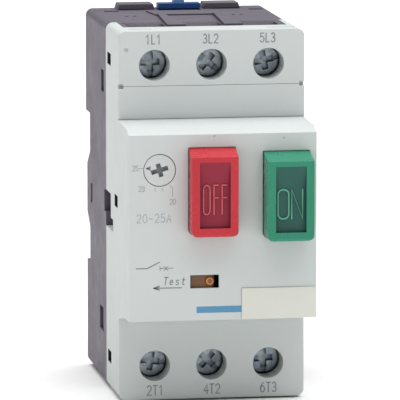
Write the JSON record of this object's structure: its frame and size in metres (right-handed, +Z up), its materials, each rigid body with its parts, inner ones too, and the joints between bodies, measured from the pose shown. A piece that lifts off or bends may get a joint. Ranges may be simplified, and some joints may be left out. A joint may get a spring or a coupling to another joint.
{
  "type": "motor protection breaker",
  "caption": "Rail-mounted three-pole motor protection breaker with on and off pushbuttons, current dial, test slider and screw clamp terminals.",
  "frame": {"origin": "middle of the rail seat: the flat that rests on the rail's flanges, midway across the width and at the rail's centre line", "axes": "+Z up towards the line terminals, -Y out of the front face with the buttons, +X to the right seen from the front"},
  "size_m": [0.045, 0.0791, 0.0919],
  "materials": {
    "cover_plastic": "fine matt moulded grain",
    "marker_plastic": "fine matt moulded grain",
    "case_plastic": "matt moulded thermoset",
    "red_plastic": "satin moulded",
    "green_plastic": "satin moulded",
    "blue_plastic": "satin moulded",
    "slider_plastic": "moulded, orange pointer pin",
    "white_plastic": "moulded",
    "zinc_steel": "zinc plated",
    "spring_steel": "drawn wire",
    "core_steel": "ground soft iron",
    "copper": "rolled copper with silver tips"
  },
  "bodies": {
    "housing": {"body_case": "case_plastic", "front_cover": "cover_plastic", "accessory_slot_cover": "cover_plastic", "marker_plate": "marker_plastic", "rear_plate": "case_plastic", "case_screws": "zinc_steel", "rail_latch_spring": "spring_steel", "off_button_spring": "spring_steel", "on_button_spring": "spring_steel", "test_slider_spring": "spring_steel", "line_terminal_1": "copper", "line_terminal_2": "copper", "line_terminal_3": "copper", "load_terminal_1": "copper", "load_terminal_2": "copper", "load_terminal_3": "copper", "arc_chute_1": "zinc_steel", "arc_chute_2": "zinc_steel", "arc_chute_3": "zinc_steel", "trip_coil_1": "copper", "trip_coil_2": "copper", "trip_coil_3": "copper", "coil_yokes": "core_steel", "bimetal_1": "copper", "bimetal_2": "copper", "bimetal_3": "copper", "lever_pin": "zinc_steel", "mechanism_frame": "zinc_steel"},
    "rail_latch": {"rail_latch": "blue_plastic"},
    "off_button": {"off_button": "red_plastic"},
    "on_button": {"on_button": "green_plastic"},
    "current_dial": {"current_dial": "cover_plastic"},
    "adjusting_lever": {"adjusting_lever": "zinc_steel"},
    "test_slider": {"test_slider": "slider_plastic"},
    "contact_carrier": {"contact_carrier": "white_plastic", "contact_springs": "spring_steel", "contact_bridge_1": "copper", "contact_bridge_2": "copper", "contact_bridge_3": "copper"},
    "trip_bar": {"trip_bar": "white_plastic"},
    "release_lever": {"release_lever": "zinc_steel"},
    "drive_lever": {"drive_lever": "white_plastic"},
    "striker_core_1": {"striker_core_1": "core_steel"},
    "striker_core_2": {"striker_core_2": "core_steel"},
    "striker_core_3": {"striker_core_3": "core_steel"},
    "line_clamp_1": {"line_clamp_1": "zinc_steel"},
    "line_screw_1": {"line_screw_1": "zinc_steel"},
    "line_clamp_2": {"line_clamp_2": "zinc_steel"},
    "line_screw_2": {"line_screw_2": "zinc_steel"},
    "line_clamp_3": {"line_clamp_3": "zinc_steel"},
    "line_screw_3": {"line_screw_3": "zinc_steel"},
    "load_clamp_1": {"load_clamp_1": "zinc_steel"},
    "load_screw_1": {"load_screw_1": "zinc_steel"},
    "load_clamp_2": {"load_clamp_2": "zinc_steel"},
    "load_screw_2": {"load_screw_2": "zinc_steel"},
    "load_clamp_3": {"load_clamp_3": "zinc_steel"},
    "load_screw_3": {"load_screw_3": "zinc_steel"}
  },
  "joints": [
    {"name": "on_button_press", "type": "slide", "parent": "housing", "child": "on_button", "axis": [0, 1, 0], "range_m": [0, 0.005], "stiffness_N_per_m": 400, "springref_m": -0.002, "deforming": ["on_button_spring"]},
    {"name": "drive_lever_turn", "type": "hinge", "parent": "housing", "child": "drive_lever", "pos_m": [0, -0.033, -0.007], "axis": [-1, 0, 0], "range_deg": [0, 20.5]},
    {"name": "contact_carrier_slide", "type": "slide", "parent": "housing", "child": "contact_carrier", "axis": [0, 1, 0], "range_m": [0, 0.00298]},
    {"name": "off_button_press", "type": "slide", "parent": "housing", "child": "off_button", "axis": [0, 1, 0], "range_m": [0, 0.003], "stiffness_N_per_m": 400, "springref_m": -0.002, "deforming": ["off_button_spring"]},
    {"name": "release_lever_turn", "type": "hinge", "parent": "housing", "child": "release_lever", "pos_m": [0, -0.033, -0.007], "axis": [-1, 0, 0], "range_deg": [0, 12]},
    {"name": "current_dial_turn", "type": "hinge", "parent": "housing", "child": "current_dial", "pos_m": [-0.0151, -0.0655, 0.01335], "axis": [0, -1, 0], "range_deg": [0, 130]},
    {"name": "adjusting_lever_turn", "type": "hinge", "parent": "housing", "child": "adjusting_lever", "pos_m": [-0.0151, -0.058, 0.003], "axis": [0, 1, 0], "range_deg": [0, 13.7]},
    {"name": "test_slider_slide", "type": "slide", "parent": "housing", "child": "test_slider", "axis": [-1, 0, 0], "range_m": [0, 0.0026], "stiffness_N_per_m": 250, "springref_m": -0.001, "deforming": ["test_slider_spring"]},
    {"name": "trip_bar_slide", "type": "slide", "parent": "housing", "child": "trip_bar", "axis": [-1, 0, 0], "range_m": [0, 0.0026]},
    {"name": "rail_latch_slide", "type": "slide", "parent": "housing", "child": "rail_latch", "axis": [0, 0, 1], "range_m": [0, 0.0035], "stiffness_N_per_m": 600, "springref_m": -0.002, "deforming": ["rail_latch_spring"]},
    {"name": "striker_core_1_slide", "type": "slide", "parent": "housing", "child": "striker_core_1", "axis": [0, -1, 0], "range_m": [0, 0.0015], "stiffness_N_per_m": 150, "springref_m": -0.001},
    {"name": "striker_core_2_slide", "type": "slide", "parent": "housing", "child": "striker_core_2", "axis": [0, -1, 0], "range_m": [0, 0.0015], "stiffness_N_per_m": 150, "springref_m": -0.001},
    {"name": "striker_core_3_slide", "type": "slide", "parent": "housing", "child": "striker_core_3", "axis": [0, -1, 0], "range_m": [0, 0.0015], "stiffness_N_per_m": 150, "springref_m": -0.001},
    {"name": "line_clamp_1_slide", "type": "slide", "parent": "housing", "child": "line_clamp_1", "axis": [0, 1, 0], "range_m": [0, 0.005]},
    {"name": "line_screw_1_turn", "type": "hinge", "parent": "line_clamp_1", "child": "line_screw_1", "pos_m": [-0.0138, -0.035, 0.0363], "axis": [0, 1, 0], "range_deg": [0, 2572]},
    {"name": "line_clamp_2_slide", "type": "slide", "parent": "housing", "child": "line_clamp_2", "axis": [0, 1, 0], "range_m": [0, 0.005]},
    {"name": "line_screw_2_turn", "type": "hinge", "parent": "line_clamp_2", "child": "line_screw_2", "pos_m": [0, -0.035, 0.0363], "axis": [0, 1, 0], "range_deg": [0, 2572]},
    {"name": "line_clamp_3_slide", "type": "slide", "parent": "housing", "child": "line_clamp_3", "axis": [0, 1, 0], "range_m": [0, 0.005]},
    {"name": "line_screw_3_turn", "type": "hinge", "parent": "line_clamp_3", "child": "line_screw_3", "pos_m": [0.0138, -0.035, 0.0363], "axis": [0, 1, 0], "range_deg": [0, 2572]},
    {"name": "load_clamp_1_slide", "type": "slide", "parent": "housing", "child": "load_clamp_1", "axis": [0, 1, 0], "range_m": [0, 0.005]},
    {"name": "load_screw_1_turn", "type": "hinge", "parent": "load_clamp_1", "child": "load_screw_1", "pos_m": [-0.0138, -0.035, -0.0363], "axis": [0, 1, 0], "range_deg": [0, 2572]},
    {"name": "load_clamp_2_slide", "type": "slide", "parent": "housing", "child": "load_clamp_2", "axis": [0, 1, 0], "range_m": [0, 0.005]},
    {"name": "load_screw_2_turn", "type": "hinge", "parent": "load_clamp_2", "child": "load_screw_2", "pos_m": [0, -0.035, -0.0363], "axis": [0, 1, 0], "range_deg": [0, 2572]},
    {"name": "load_clamp_3_slide", "type": "slide", "parent": "housing", "child": "load_clamp_3", "axis": [0, 1, 0], "range_m": [0, 0.005]},
    {"name": "load_screw_3_turn", "type": "hinge", "parent": "load_clamp_3", "child": "load_screw_3", "pos_m": [0.0138, -0.035, -0.0363], "axis": [0, 1, 0], "range_deg": [0, 2572]}
  ],
  "couplings": [
    {"joint": "drive_lever_turn", "follows": "on_button_press", "rad_per_m": 71.557},
    {"joint": "contact_carrier_slide", "follows": "on_button_press", "ratio": 0.596},
    {"joint": "release_lever_turn", "follows": "off_button_press", "rad_per_m": 69.812},
    {"joint": "adjusting_lever_turn", "follows": "current_dial_turn", "ratio": 0.10537},
    {"joint": "trip_bar_slide", "follows": "test_slider_slide", "ratio": 1},
    {"joint": "line_screw_1_turn", "follows": "line_clamp_1_slide", "rad_per_m": 8976},
    {"joint": "line_screw_2_turn", "follows": "line_clamp_2_slide", "rad_per_m": 8976},
    {"joint": "line_screw_3_turn", "follows": "line_clamp_3_slide", "rad_per_m": 8976},
    {"joint": "load_screw_1_turn", "follows": "load_clamp_1_slide", "rad_per_m": 8976},
    {"joint": "load_screw_2_turn", "follows": "load_clamp_2_slide", "rad_per_m": 8976},
    {"joint": "load_screw_3_turn", "follows": "load_clamp_3_slide", "rad_per_m": 8976}
  ]
}
